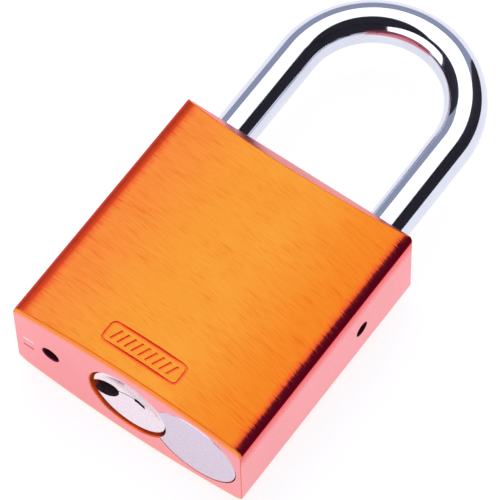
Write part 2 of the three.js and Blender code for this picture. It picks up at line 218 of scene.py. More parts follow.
def combine(piece, others, operation="DIFFERENCE"):
    """Cuts the other solids from piece, or joins them to it, and removes them."""
    for other in others:
        modifier = piece.modifiers.new("combine", "BOOLEAN")
        modifier.object = other
        modifier.operation = operation
        modifier.solver = "MANIFOLD"
        modifier.material_mode = "TRANSFER"
    apply_modifiers(piece)
    for other in others:
        bpy.data.objects.remove(other)


def bevel_edges(piece, width, angle=30, material=-1):
    modifier = piece.modifiers.new("bevel", "BEVEL")
    modifier.width = width * MM
    modifier.segments = 2
    modifier.material = material
    modifier.limit_method = "ANGLE"
    modifier.angle_limit = math.radians(angle)
    modifier.use_clamp_overlap = False
    modifier.harden_normals = False
    apply_modifiers(piece)


def shade(piece, angle=30):
    piece.data.shade_smooth()
    piece.data.set_sharp_from_angle(angle=math.radians(angle))


def stitched(rings, closed_along=False):
    """Quads between neighbouring rings of equal length; point k of ring i is i * n + k."""
    count = len(rings[0])
    faces = []
    for i in range(len(rings) if closed_along else len(rings) - 1):
        after = (i + 1) % len(rings)
        for k in range(count):
            beside = (k + 1) % count
            faces.append((
                i * count + k, i * count + beside, after * count + beside, after * count + k,
            ))
    return faces


def lathe(name, profile, centre, material=None, sides=64, along="Y"):
    """Turns (radius, distance) points about an axis through centre, along Y or X.
    The profile starts and ends on the axis, or closes on itself."""
    closed = profile[0] == profile[-1]
    stations = profile[:-1] if closed else profile
    rings = []
    for radius, distance in stations:
        ring = []
        for k in range(sides):
            angle = 2 * math.pi * k / sides
            across, up = radius * math.cos(angle), radius * math.sin(angle)
            offset = (across, distance, up) if along == "Y" else (distance, across, up)
            ring.append(Vector(centre) + Vector(offset))
        rings.append(ring)
    faces = stitched(rings, closed_along=closed)
    return new_object(name, sum(rings, []), faces, material)


def rod(radius, low, high):
    """The lathe profile of a plain round bar."""
    return [(0, low), (radius, low), (radius, high), (0, high)]


def tube(name, path, radii, material=None, sides=64):
    """A round bar along a list of points, with one radius for each, capped at both ends."""
    rings = []
    across = None
    for i, point in enumerate(path):
        ahead = path[min(i + 1, len(path) - 1)]
        behind = path[max(i - 1, 0)]
        direction = (ahead - behind).normalized()
        if across is None:
            across = direction.orthogonal().normalized()
        across = (across - direction * across.dot(direction)).normalized()
        up = direction.cross(across)
        rings.append([
            point + radii[i] * (across * math.cos(turn) + up * math.sin(turn))
            for turn in (2 * math.pi * k / sides for k in range(sides))
        ])
    faces = stitched(rings)
    last = (len(rings) - 1) * sides
    faces.append(tuple(range(sides)))
    faces.append(tuple(range(last, last + sides)))
    return new_object(name, sum(rings, []), faces, material)


def arc(x, y, radius, start, end, steps):
    return [
        (x + radius * math.cos(turn), y + radius * math.sin(turn))
        for turn in (start + (end - start) * i / steps for i in range(steps + 1))
    ]


def block(name, low, high, material=None):
    points = [(x, y, z) for x in (low[0], high[0]) for y in (low[1], high[1])
              for z in (low[2], high[2])]
    faces = [(0, 1, 3, 2), (4, 6, 7, 5), (0, 4, 5, 1), (2, 3, 7, 6), (0, 2, 6, 4), (1, 5, 7, 3)]
    return new_object(name, points, faces, material)


def raised(name, outline, low, high, material):
    """A flat outline of (x, -z) points, raised along Y."""
    rings = [[(x, y, -z) for x, z in outline] for y in (low, high)]
    count = len(outline)
    faces = stitched(rings)
    faces += [tuple(range(count)), tuple(range(count, 2 * count))]
    return new_object(name, sum(rings, []), faces, material)


def ride(piece, body, nodes, angle=30):
    """Shades a finished piece, fixes it to its body and lets it stand for its CAD nodes."""
    shade(piece, angle)
    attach(piece, body)
    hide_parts(*nodes)


# ---- materials ----------------------------------------------------------------------------

def new_material(name):
    """A node material: returns it, its tree and its Principled shader."""
    material = bpy.data.materials.new(name)
    material.use_nodes = True
    tree = material.node_tree
    return material, tree, tree.nodes["Principled BSDF"]


def noise(tree, scale, detail=2.0, roughness=0.5, turn=0.0):
    """Noise in the object's own metres, with its own scale along X, Y and Z, per millimetre,
    after a turn about Z."""
    place = tree.nodes.new("ShaderNodeTexCoord")
    stretch = tree.nodes.new("ShaderNodeMapping")
    stretch.vector_type = "TEXTURE"
    stretch.inputs["Rotation"].default_value = (0, 0, turn)
    stretch.inputs["Scale"].default_value = [MM / s for s in scale]
    texture = tree.nodes.new("ShaderNodeTexNoise")
    texture.inputs["Scale"].default_value = 1.0
    texture.inputs["Detail"].default_value = detail
    texture.inputs["Roughness"].default_value = roughness
    tree.links.new(place.outputs["Object"], stretch.inputs["Vector"])
    tree.links.new(stretch.outputs["Vector"], texture.inputs["Vector"])
    return texture.outputs["Fac"]


def ramp(tree, value, stops):
    """Maps a value to colours or greys at the given stops."""
    node = tree.nodes.new("ShaderNodeValToRGB")
    elements = node.color_ramp.elements
    while len(elements) < len(stops):
        elements.new(0.5)
    for element, (position, colour) in zip(elements, stops):
        element.position = position
        element.color = (*colour, 1) if len(colour) == 3 else (colour[0],) * 3 + (1,)
    tree.links.new(value, node.inputs["Fac"])
    return node.outputs["Color"]


def bump(tree, height, distance, strength):
    node = tree.nodes.new("ShaderNodeBump")
    node.inputs["Distance"].default_value = distance * MM
    node.inputs["Strength"].default_value = strength
    tree.links.new(height, node.inputs["Height"])
    return node.outputs["Normal"]


STRAY_REACH = 3


def across(tree, near, far, stray=None):
    """0 to 1 as a point's X goes from near to far, in millimetres. Stray noise moves the point
    by at most half of STRAY_REACH either way, so that the change follows the grain."""
    place = tree.nodes.new("ShaderNodeTexCoord")
    split = tree.nodes.new("ShaderNodeSeparateXYZ")
    tree.links.new(place.outputs["Object"], split.inputs["Vector"])
    x = split.outputs["X"]
    if stray is not None:
        shift = tree.nodes.new("ShaderNodeMath")
        shift.operation = "MULTIPLY_ADD"
        shift.inputs[1].default_value = STRAY_REACH * MM
        tree.links.new(stray, shift.inputs[0])
        tree.links.new(x, shift.inputs[2])
        x = shift.outputs["Value"]
        near, far = near + STRAY_REACH / 2, far + STRAY_REACH / 2
    reach = tree.nodes.new("ShaderNodeMapRange")
    reach.interpolation_type = "SMOOTHSTEP"
    reach.inputs["From Min"].default_value = near * MM
    reach.inputs["From Max"].default_value = far * MM
    tree.links.new(x, reach.inputs["Value"])
    return reach.outputs["Result"]


def forward(tree, near, far):
    """0 to 1 as a point comes forward from near to far, in millimetres in front of
    mid-thickness, with the crown's fall towards the sides added back."""
    place = tree.nodes.new("ShaderNodeTexCoord")
    split = tree.nodes.new("ShaderNodeSeparateXYZ")
    tree.links.new(place.outputs["Object"], split.inputs["Vector"])
    square = tree.nodes.new("ShaderNodeMath")
    square.operation = "MULTIPLY"
    tree.links.new(split.outputs["X"], square.inputs[0])
    tree.links.new(split.outputs["X"], square.inputs[1])
    raised = tree.nodes.new("ShaderNodeMath")
    raised.operation = "MULTIPLY_ADD"
    raised.inputs[1].default_value = 1 / (2 * CROWN_RADIUS * MM)
    tree.links.new(square.outputs["Value"], raised.inputs[0])
    tree.links.new(split.outputs["Z"], raised.inputs[2])
    reach = tree.nodes.new("ShaderNodeMapRange")
    reach.inputs["From Min"].default_value = MID_Z + near * MM
    reach.inputs["From Max"].default_value = MID_Z + far * MM
    tree.links.new(raised.outputs["Value"], reach.inputs["Value"])
    return reach.outputs["Result"]


def mixed(tree, share, first, second, blend="MIX"):
    """Mixes two colours by a share between 0 and 1; each colour is a tuple or a socket."""
    node = tree.nodes.new("ShaderNodeMix")
    node.data_type = "RGBA"
    node.blend_type = blend
    tree.links.new(share, node.inputs["Factor"])
    for socket, value in (("A", first), ("B", second)):
        if isinstance(value, tuple):
            node.inputs[socket].default_value = (*value, 1)
        else:
            tree.links.new(value, node.inputs[socket])
    return node.outputs["Result"]


def over_dye(material, tree, shader, share, dye):
    """Puts a share of matt dye under the metal's reflections; dye is a colour or a socket."""
    under = tree.nodes.new("ShaderNodeBsdfDiffuse")
    if isinstance(dye, tuple):
        under.inputs["Color"].default_value = (*dye, 1)
    else:
        tree.links.new(dye, under.inputs["Color"])
    join = tree.nodes.new("ShaderNodeMixShader")
    join.inputs["Fac"].default_value = share
    tree.links.new(shader.outputs["BSDF"], join.inputs[1])
    tree.links.new(under.outputs["BSDF"], join.inputs[2])
    output = tree.nodes["Material Output"]
    tree.links.new(join.outputs["Shader"], output.inputs["Surface"])
    return material


def brushed_orange():
    """Orange anodised aluminium with a fine grain brushed across the lock. Its colour also holds
    painted reflection: redder towards both sides, with dark painted bands at the left edge and the
    right corner.
    """
    material, tree, shader = new_material("anodised_brushed")
    grain = noise(tree, (0.30, 10.0, 0.4), detail=3, roughness=0.6, turn=BRUSHING_TURN)
    scratches = noise(tree, (0.25, 7.0, 0.4), detail=2, turn=BRUSHING_TURN)
    cloud = noise(tree, (0.05, 0.12, 0.05), detail=2)
    strength = ramp(tree, noise(tree, (0.16, 0.22, 0.1)), [(0.40, (0.50,)), (0.58, (1.0,))])
    colour = ramp(tree, cloud, [(0.35, (0.840, 0.296, 0.031)), (0.65, (0.852, 0.320, 0.037))])
    # Painted reflection: the orange turns redder towards both sides, where the softbox's reflection
    # falls off.
    colour = mixed(tree, across(tree, 3, 18), colour, (0.846, 0.222, 0.017))
    colour = mixed(tree, across(tree, -3, -18), colour, (0.846, 0.240, 0.042))
    # Painted dark reflection along the left edge: dark red, darkest just inside the edge.
    colour = mixed(tree, across(tree, -16.9, -18.5, grain), colour, (0.809, 0.110, 0.031))
    colour = mixed(tree, across(tree, -17.9, -18.6), colour, (0.593, 0.049, 0.012))
    colour = mixed(tree, across(tree, -18.7, -19.0), colour, (0.68, 0.068, 0.030))
    # Painted dark reflection on the right corner: red, then a maroon band, darkest near the side.
    colour = mixed(tree, across(tree, 18.0, 19.1, grain), colour, (0.865, 0.079, 0.024))
    colour = mixed(tree, across(tree, 18.8, 19.35, grain), colour, (0.20, 0.0060, 0.026))
    colour = mixed(tree, across(tree, 19.62, 19.80), colour, (0.10, 0.002, 0.010))
    lines = ramp(tree, grain, [(0.32, (0.92, 0.66, 0.50)), (0.50, (1.0, 1.0, 1.0)),
                               (0.72, (1.02, 1.06, 1.08))])
    colour = mixed(tree, strength, colour, lines, "MULTIPLY")
    marks = ramp(tree, scratches, [(0.31, (0.94, 0.60, 0.45)), (0.39, (1.0, 1.0, 1.0))])
    colour = mixed(tree, strength, colour, marks, "MULTIPLY")
    tree.links.new(colour, shader.inputs["Base Color"])
    rough = ramp(tree, grain, [(0.3, (0.18,)), (0.7, (0.13,))])
    tree.links.new(rough, shader.inputs["Roughness"])
    tree.links.new(bump(tree, grain, 0.003, 0.5), shader.inputs["Normal"])
    shader.inputs["Metallic"].default_value = 1.0
    shader.inputs["Specular Tint"].default_value = (1.0, 0.4, 0.45, 1.0)
    return over_dye(material, tree, shader, 0.60, colour)


def satin_anodised(name, dark, light, near=0.0, far=0.0, front=None):
    """The same anodised aluminium where it was sawn or milled, with a finer grain. It is paler and
    pinker because its base colour holds a painted white sheen over the orange anodising. It turns
    to the colour given for the front as it comes forward from near to far."""
    material, tree, shader = new_material(name)
    grain = noise(tree, (4.0, 4.0, 4.0), detail=3)
    broad = noise(tree, (0.06, 0.06, 0.06), detail=2)
    colour = ramp(tree, broad, [(0.35, dark), (0.65, light)])
    if front is not None:
        colour = mixed(tree, forward(tree, near, far), colour, front)
    tree.links.new(colour, shader.inputs["Base Color"])
    rough = ramp(tree, grain, [(0.3, (0.34,)), (0.7, (0.26,))])
    tree.links.new(rough, shader.inputs["Roughness"])
    tree.links.new(bump(tree, grain, 0.003, 0.4), shader.inputs["Normal"])
    shader.inputs["Metallic"].default_value = 1.0
    return over_dye(material, tree, shader, 0.08, (0.88, 0.04, 0.07))


def anodised(name, dark, light, grain, depth, share, dye=None):
    """Anodised edges, bores and engraved lines: two close tones over a fine grain, with a
    matt share of the dye, or of the same tones where no dye is given."""
    material, tree, shader = new_material(name)
    fine = noise(tree, grain, detail=2)
    colour = ramp(tree, fine, [(0.3, dark), (0.7, light)])
    tree.links.new(colour, shader.inputs["Base Color"])
    tree.links.new(bump(tree, fine, depth, 0.5), shader.inputs["Normal"])
    shader.inputs["Roughness"].default_value = 0.3
    shader.inputs["Metallic"].default_value = 1.0
    return over_dye(material, tree, shader, share, colour if dye is None else dye)


def metal(name, dark, light, roughness, grain, depth, metallic=1.0, specular=0.5):
    """A bare or plated metal: two close tones over a fine grain."""
    material, tree, shader = new_material(name)
    fine = noise(tree, grain, detail=3)
    tree.links.new(ramp(tree, fine, [(0.3, dark), (0.7, light)]), shader.inputs["Base Color"])
    rough = ramp(tree, fine, [(0.3, (roughness * 1.2,)), (0.7, (roughness * 0.85,))])
    tree.links.new(rough, shader.inputs["Roughness"])
    tree.links.new(bump(tree, fine, depth, 0.5), shader.inputs["Normal"])
    shader.inputs["Metallic"].default_value = metallic
    shader.inputs["Specular IOR Level"].default_value = specular
    return material


BRUSHED = brushed_orange()
# SATIN, SIDE and PLANED: orange anodising with a painted white sheen, which makes them pale pink;
# towards the front the painted sheen gives way to orange on SATIN and to red on SIDE.
SATIN = satin_anodised("anodised_satin", (0.955, 0.315, 0.335), (0.995, 0.350, 0.375),
                       8.2, 9.2, (0.96, 0.27, 0.06))
SIDE = satin_anodised("anodised_side", (0.955, 0.315, 0.335), (0.995, 0.350, 0.375),
                      5.0, 8.2, (0.93, 0.0, 0.0))
PLANED = satin_anodised("anodised_planed", (0.82, 0.19, 0.18), (0.90, 0.24, 0.23))
BORE_GRAIN = (0.4, 5.0, 0.4)
EDGE_GRAIN = (0.6, 5.0, 5.0)
BORE = anodised("anodised_bore", (0.92, 0.12, 0.030), (1.0, 0.19, 0.045), BORE_GRAIN, 0.01, 0.5)
# The walls of the drain and side holes: the same anodised metal painted nearly black, as painted
# shade deep in the holes.
HOLE = anodised("anodised_hole", (0.15, 0.015, 0.035), (0.20, 0.022, 0.05), BORE_GRAIN, 0.01, 0.5)
CHROME = metal("chrome_plate", (0.69, 0.71, 0.80), (0.73, 0.75, 0.83), 0.075,
               (0.3, 0.3, 0.3), 0.001)
# A pale metal for the dash's upper line: a painted highlight, in place of the bright reflection
# along that line.
DASH_HIGHLIGHT = metal("dash_painted_highlight", (0.90, 0.90, 0.92), (0.98, 0.98, 1.0), 0.35,
             (4.0, 4.0, 4.0), 0.001)
NICKEL = metal("nickel_satin", (0.84, 0.73, 0.80), (0.92, 0.81, 0.88), 0.20,
               (3.0, 3.0, 3.0), 0.002)
# The keyway's walls: painted shade, a near-black matt finish in place of the plug's own metal,
# which lies in shade inside the keyway.
KEYWAY = metal("keyway_wall", (0.06, 0.035, 0.040), (0.13, 0.070, 0.075), 0.7,
               (2.0, 2.0, 2.0), 0.002, metallic=0.0, specular=0.1)
NICKEL_FACED = metal("nickel_faced", (0.64, 0.54, 0.66), (0.70, 0.60, 0.72), 0.24,
                     (2.0, 2.0, 2.0), 0.002)
BRASS = metal("turned_brass", (0.62, 0.42, 0.14), (0.80, 0.60, 0.26), 0.25,
              (6.0, 0.5, 0.5), 0.006)
STEEL = metal("plain_steel", (0.42, 0.43, 0.45), (0.60, 0.61, 0.63), 0.28,
              (2.0, 2.0, 2.0), 0.004)
EDGE = anodised("anodised_edge", (0.94, 0.255, 0.020), (0.99, 0.285, 0.030), EDGE_GRAIN, 0.003,
                0.10, (1.0, 0.27, 0.040))
LINE = anodised("anodised_line", (0.67, 0.150, 0.016), (0.72, 0.175, 0.022), EDGE_GRAIN, 0.003,
                0.35, (0.69, 0.160, 0.020))
RIM = anodised("anodised_rim", (0.90, 0.20, 0.03), (0.96, 0.24, 0.04), EDGE_GRAIN, 0.003,
               0.85, (1.0, 0.17, 0.015))
BODY_MATERIALS = [BRUSHED, SATIN, BORE, EDGE, RIM, PLANED, HOLE, DASH_HIGHLIGHT, SIDE, LINE]


# ---- lock body ----------------------------------------------------------------------------

def crown_geometry():
    corner_x = BODY_HALF_WIDTH - CORNER_RADIUS
    reach = CROWN_RADIUS - CORNER_RADIUS
    spread = math.asin(corner_x / reach)
    centre = BODY_HALF_THICKNESS - CROWN_RADIUS
    corner_z = centre + math.sqrt(reach ** 2 - corner_x ** 2)
    return spread, centre, corner_x, corner_z


def crown_height(x):
    """How far the front's surface stands from mid-thickness."""
    return BODY_HALF_THICKNESS - CROWN_RADIUS + math.sqrt(CROWN_RADIUS ** 2 - x ** 2)


def body_outline():
    """The section across the lock as (x, z), anticlockwise."""
    spread, centre, corner_x, corner_z = crown_geometry()
    quarter = math.pi / 2
    corner_steps, crown_steps = 14, 72
    run_on = (BODY_HALF_WIDTH, corner_z - SIDE_BAND)
    front_half = (
        [run_on]
        + arc(corner_x, corner_z, CORNER_RADIUS, 0, quarter - spread, corner_steps)[:-1]
        + arc(0, centre, CROWN_RADIUS, quarter - spread, quarter + spread, crown_steps)[:-1]
        + arc(-corner_x, corner_z, CORNER_RADIUS, quarter + spread, 2 * quarter, corner_steps)
        + [(-run_on[0], run_on[1])]
    )
    return front_half + [(-x, -z) for x, z in front_half]


def section_material(start, end):
    """The material of the stretch between two points of the outline: the sides are satin, and
    so is the start of the back's corners."""
    x = (abs(start[0]) + abs(end[0])) / 2
    z = (start[1] + end[1]) / 2
    on_side = abs(start[1] - end[1]) > CORNER_RADIUS
    on_back_corner = z < 0 and x > BODY_HALF_WIDTH - BACK_CORNER_SATIN
    return SIDE if on_side or on_back_corner else BRUSHED


def body_shell():
    """The solid bar with its edge break at the key end and its planed edges at the other."""
    outline = body_outline()
    section = [section_material(start, end)
               for start, end in zip(outline, outline[1:] + outline[:1])]
    slope = CHAMFER_DEPTH / CHAMFER_HEIGHT
    shoulder = BODY_HALF_THICKNESS - CHAMFER_DEPTH
    flat = crown_geometry()[3]

    def broken(z):
        share = max(0.0, abs(z) - flat) / (BODY_HALF_THICKNESS - flat)
        return math.copysign(abs(z) - KEY_BREAK_DEPTH * min(1.0, 3 * share), z)

    rings = [
        [(x, 0, broken(z)) for x, z in outline],
        [(x, KEY_BREAK_HEIGHT, z) for x, z in outline],
        [(x, KEY_BREAK_HEIGHT + KEY_LINE, z) for x, z in outline],
        [(x, BODY_HEIGHT - max(0.0, abs(z) - shoulder) / slope, z) for x, z in outline],
        [(x, BODY_HEIGHT, math.copysign(min(abs(z), shoulder), z)) for x, z in outline],
    ]
    count = len(outline)
    faces = stitched(rings)
    break_band = [EDGE if material == BRUSHED else material for material in section]
    line_band = [LINE if material == BRUSHED else material for material in section]
    faces += [tuple(range(count)), tuple(range(4 * count, 5 * count))]
    face_materials = break_band + line_band + section + [PLANED] * count + [SATIN, SATIN]
    mesh = bpy.data.meshes.new("padlock_body")
    mesh.from_pydata([to_frame(p) for p in sum(rings, [])], [], faces)
    for material in BODY_MATERIALS:
        mesh.materials.append(material)
    mesh.polygons.foreach_set("material_index",
                              [BODY_MATERIALS.index(material) for material in face_materials])
    clean(mesh, 2e-6, 1e-6)
    shell = placed("padlock_body", mesh)
    bevel_edges(shell, RIM_WIDTH, angle=20, material=BODY_MATERIALS.index(RIM))
    return shell


def as_cutter(piece, wall=BORE):
    """Gives a cutter the body's materials, so that the walls it leaves have the given one."""
    piece.data.materials.clear()
    for material in BODY_MATERIALS:
        piece.data.materials.append(material)
    for polygon in piece.data.polygons:
        polygon.material_index = BODY_MATERIALS.index(wall)
    return piece


def blind_bore(radius, x, floor, mouth, sides=96, wall=BORE):
    """A round cutter along Y from its floor to a mouth with a small break."""
    outward = 1 if mouth > floor else -1
    return as_cutter(lathe("bore", [
        (0, floor),
        (radius, floor),
        (radius, mouth - outward * HOLE_BREAK),
        (radius + 2 * HOLE_BREAK, mouth + outward * HOLE_BREAK),
        (radius + 2 * HOLE_BREAK, mouth + outward),
        (0, mouth + outward),
    ], (x, 0, 0), sides=sides), wall)


def inner_bore(radius, x, low, high, sides=64):
    return as_cutter(lathe("bore", rod(radius, low, high), (x, 0, 0), sides=sides))


def cross_bore(radius, y, z, low, high, wall):
    return as_cutter(lathe("bore", rod(radius, low, high), (0, y, z), sides=48, along="X"), wall)


def groove(path, width, depth, closed=False):
    """A cutter with sloping walls that follows (x, y) points over the crowned front."""
    above = 0.25
    count = len(path)
    rings = []
    for i, (x, y) in enumerate(path):
        ahead = path[(i + 1) % count] if closed or i < count - 1 else path[i]
        behind = path[i - 1] if closed or i > 0 else path[i]
        along = Vector((ahead[0] - behind[0], ahead[1] - behind[1])).normalized()
        normal = Vector((along.y, -along.x))
        ring = []
        for side, share, height in ((-1, 1.25, above), (1, 1.25, above), (1, 0.6, -depth),
                                    (-1, 0.6, -depth)):
            px = x + normal.x * side * share * width / 2
            py = y + normal.y * side * share * width / 2
            ring.append((px, py, crown_height(px) + height))
        rings.append(ring)
    faces = stitched(rings, closed_along=closed)
    if not closed:
        faces += [(0, 1, 2, 3), tuple(4 * (count - 1) + k for k in range(4))]
    return as_cutter(new_object("groove", sum(rings, []), faces))


def badge_groove():
    """The outline of the plain badge engraved low on the front."""
    steps = 8
    reach, rise = BADGE_HALF_WIDTH - BADGE_CORNER, BADGE_HALF_HEIGHT - BADGE_CORNER
    path = []
    for quarter, (side_x, side_y) in enumerate([(1, 1), (-1, 1), (-1, -1), (1, -1)]):
        path += arc(BADGE_X + side_x * reach, BADGE_Y + side_y * rise, BADGE_CORNER,
                    quarter * math.pi / 2, (quarter + 1) * math.pi / 2, steps)
    return groove(path, BADGE_LINE, BADGE_DEPTH, closed=True)


def badge_bars():
    """A plain hatch of slanted strokes inside the badge, in place of lettering."""
    count, pitch = 9, 1.22
    half_height, lean = 0.95, 0.42
    strokes = []
    for k in range(count):
        x = BADGE_X + (k - (count - 1) / 2) * pitch
        ends = [(x - lean, BADGE_Y - half_height), (x + lean, BADGE_Y + half_height)]
        strokes.append(groove(ends, BADGE_LINE, BADGE_DEPTH))
    return strokes


def dash_marks():
    """A shallow stamped dash on the key face, beside the drain hole: its upper line is a painted
    highlight in a pale metal, and its lower line is painted shade in the darker planed tone."""
    low_x, high_x, outside, depth = -18.7, -16.85, -1, 0.04
    bright = block("dash", (low_x, outside, -0.05), (high_x, depth, 0.35))
    dull = block("dash", (low_x, outside, -2.1), (high_x, depth, -1.5))
    return [as_cutter(bright, DASH_HIGHLIGHT), as_cutter(dull, PLANED)]


def lock_body():
    shell = body_shell()
    cutters = [
        blind_bore(PLUG_BORE_RADIUS, 0, PLUG_BORE_END, 0),
        inner_bore(HOUSING_BORE_RADIUS, HOUSING_X, -1, HOUSING_BORE_END, sides=128),
        inner_bore(CAM_BORE_RADIUS, 0, PLUG_BORE_END - 1, CAM_BORE_END),
        blind_bore(LEG_BORE_RADIUS, -LEG_X, HEEL_BORE_FLOOR, BODY_HEIGHT),
        blind_bore(LEG_BORE_RADIUS, LEG_X, TOE_BORE_FLOOR, BODY_HEIGHT),
        blind_bore(DRAIN_RADIUS, -LEG_X, HEEL_BORE_FLOOR + 1, 0, sides=48, wall=HOLE),
        cross_bore(SIDE_HOLE_RADIUS, SIDE_HOLE_HEIGHT, SIDE_HOLE_OFFSET, LEG_X,
                   BODY_HALF_WIDTH + 1, HOLE),
        cross_bore(BALL_RADIUS + 0.2, BALL_HEIGHT, 0, -LEG_X, LEG_X, BORE),
        badge_groove(),
    ] + badge_bars() + dash_marks()
    combine(shell, cutters)
    ride(shell, "case", ["lock_body"], 12)


# ---- shackle ------------------------------------------------------------------------------

def shackle():
    end_break, neck_slope = 0.5, 0.6
    heel = [Vector((-LEG_X, y, 0)) for y in (HEEL_END, HEEL_END + end_break, NECK_LOW,
                                             NECK_HIGH, BODY_HEIGHT, ARCH_CENTRE - 2)]
    toe = [Vector((LEG_X, y, 0)) for y in (ARCH_CENTRE - 2, BODY_HEIGHT, BALL_HEIGHT,
                                           TOE_END + end_break, TOE_END)]
    arch = [Vector((x, y, 0)) for x, y in arc(0, ARCH_CENTRE, LEG_X, math.pi, 0, 96)]
    path = heel + arch + toe
    radii = [SHACKLE_RADIUS] * len(path)
    radii[0] = radii[-1] = SHACKLE_RADIUS - end_break
    bow = tube("shackle_bow", path, radii, CHROME, sides=96)
    outside = SHACKLE_RADIUS + 1
    neck = lathe("neck", [
        (NECK_RADIUS, NECK_LOW + neck_slope), (SHACKLE_RADIUS, NECK_LOW), (outside, NECK_LOW),
        (outside, NECK_HIGH), (SHACKLE_RADIUS, NECK_HIGH), (NECK_RADIUS, NECK_HIGH - neck_slope),
        (NECK_RADIUS, NECK_LOW + neck_slope),
    ], (-LEG_X, 0, 0), CHROME)
    combine(bow, [neck, ball_notch(-1), ball_notch(1)])
    ride(bow, "bow", ["shackle"], 35)


def ball_notch(side):
    profile = [
        (NOTCH_RADIUS * math.sin(turn), BALL_HEIGHT - NOTCH_HALF_LENGTH * math.cos(turn))
        for turn in (math.pi * i / 32 for i in range(33))
    ]
    profile[0] = (0, BALL_HEIGHT - NOTCH_HALF_LENGTH)
    profile[-1] = (0, BALL_HEIGHT + NOTCH_HALF_LENGTH)
    return lathe("notch", profile, (side * BALL_X, 0, 0), CHROME, sides=48)


# ---- cylinder -----------------------------------------------------------------------------

def pin_heights():
    boxes = [node_box(f"key_pin_{i + 1}") for i in range(PIN_COUNT)]
    return [(low.y + high.y) / 2 for low, high in boxes]


def chamber_cutters(low, high, material):
    return [lathe("chamber", rod(CHAMBER_RADIUS, low, high), (0, height, 0), material,
                  sides=40, along="X") for height in pin_heights()]


def plug():
    rim = 0.22
    dish_radius = PLUG_RADIUS - 0.8
    groove_floor = RING_INNER - RING_GAP
    groove_low, groove_high = RING_LOW - RING_GAP, RING_HIGH + RING_GAP
    body = lathe("plug_barrel", [
        (0, PLUG_FACE + 0.95),
        (1.0, PLUG_FACE + 0.90),
        (3.2, PLUG_FACE + 0.55),
        (dish_radius, PLUG_FACE + 0.08),
        (dish_radius + 0.25, PLUG_FACE),
        (PLUG_RADIUS - rim, PLUG_FACE),
        (PLUG_RADIUS - rim * 0.3, PLUG_FACE + rim * 0.3),
        (PLUG_RADIUS, PLUG_FACE + rim),
        (PLUG_RADIUS, groove_low),
        (groove_floor, groove_low),
        (groove_floor, groove_high),
        (PLUG_RADIUS, groove_high),
        (PLUG_RADIUS, PLUG_BARREL_END - rim),
        (PLUG_RADIUS - rim, PLUG_BARREL_END),
        (0, PLUG_BARREL_END),
    ], (0, 0, 0), NICKEL, sides=128)
    tang = block("tang", (-TANG_HALF_WIDTH, PLUG_BARREL_END - 1, -TANG_HALF_THICKNESS),
                 (TANG_HALF_WIDTH, plug_high.y, TANG_HALF_THICKNESS), NICKEL)
    bevel_edges(tang, 0.25)
    combine(body, [tang], "UNION")
    slot = block("keyway", (KEYWAY_ROUND_X, -1, -KEYWAY_WEB_HALF_WIDTH),
                 (KEYWAY_END - 1, KEYWAY_DEPTH, KEYWAY_WEB_HALF_WIDTH), KEYWAY)
    slot_end = block("keyway", (KEYWAY_WEB_END, -1, -KEYWAY_HALF_WIDTH),
                     (KEYWAY_END, KEYWAY_DEPTH, KEYWAY_HALF_WIDTH), KEYWAY)
    mouth = lathe("mouth", rod(KEYWAY_ROUND_RADIUS, -1, KEYWAY_DEPTH),
                  (KEYWAY_ROUND_X, 0, KEYWAY_ROUND_Z), KEYWAY, sides=64)
    combine(body, [slot, slot_end, mouth] + chamber_cutters(0, PLUG_RADIUS + 1, NICKEL))
    ride(body, "plug", ["cylinder_plug"])


def housing():
    edge = 0.08
    body = lathe("housing_insert", [
        (0, 0), (HOUSING_RADIUS - edge, 0), (HOUSING_RADIUS, edge),
        (HOUSING_RADIUS, HOUSING_LENGTH - edge), (HOUSING_RADIUS - edge, HOUSING_LENGTH),
        (0, HOUSING_LENGTH),
    ], (HOUSING_X, 0, 0), NICKEL_FACED, sides=128)
    bite = lathe("bite", rod(PLUG_BORE_RADIUS, -1, HOUSING_LENGTH + 1), (0, 0, 0), NICKEL_FACED,
                 sides=96)
    cover_low, cover_high = node_box("pin_chamber_cover")
    room = Vector((COVER_CLEARANCE,) * 3)
    far = Vector((BODY_HALF_WIDTH, cover_high.y, cover_high.z)) + room
    slit = block("cover_room", cover_low - room, far, NICKEL_FACED)
    screw_end = node_box("housing_retaining_screw")[0].y
    thread = lathe("thread", rod(SCREW_RADIUS + SCREW_CLEARANCE, screw_end - SCREW_CLEARANCE,
                                 HOUSING_LENGTH + 1), (LEG_X, 0, 0), NICKEL_FACED, sides=40)
    combine(body, [bite, slit, thread]
            + chamber_cutters(PLUG_BORE_RADIUS - 2, cover_low.x, NICKEL_FACED))
    ride(body, "case", ["pin_housing"])


# ---- inner pieces -------------------------------------------------------------------------

def coil(name, node, along, wire, turns, material):
    """A round wire spring that fills its CAD node's box, with closed ends."""
    low, high = node_box(node)
    centre = (low + high) / 2
    axis = 1 if along == "Y" else 0
    outer = (high.z - low.z) / 2
    start, end = low[axis] + wire, high[axis] - wire
    steps = turns * SPRING_STEPS_PER_TURN
    closed = CLOSED_TURN / turns
    path = []
    for i in range(steps + 1):
        t = i / steps
        turn = 2 * math.pi * turns * t
        climb = min(1, max(0, (t - closed) / (1 - 2 * closed)))
        rise = CLOSED_TURN_RISE * t + (1 - CLOSED_TURN_RISE) * climb
        distance = start + (end - start) * rise
        across = (outer - wire) * math.cos(turn)
        up = (outer - wire) * math.sin(turn)
        point = (across + centre.x, distance, up) if along == "Y" else (
            distance, across + centre.y, up)
        path.append(Vector(point))
    return tube(name, path, [wire] * len(path), material, sides=12)


def spring(name, node, along, wire, turns):
    """A steel coil with closed turns at each end, shaded and baked in its CAD node's place; the CAD
    node is hidden."""
    piece = coil(name, node, along, wire, turns, STEEL)
    shade(piece)
    low, high = node_box(node)
    axis = 1 if along == "Y" else 0
    first, last = (low + high) / 2, (low + high) / 2
    first[axis] = low[axis] + 3 * wire
    last[axis] = high[axis] - 3 * wire
    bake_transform(piece)
    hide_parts(node)


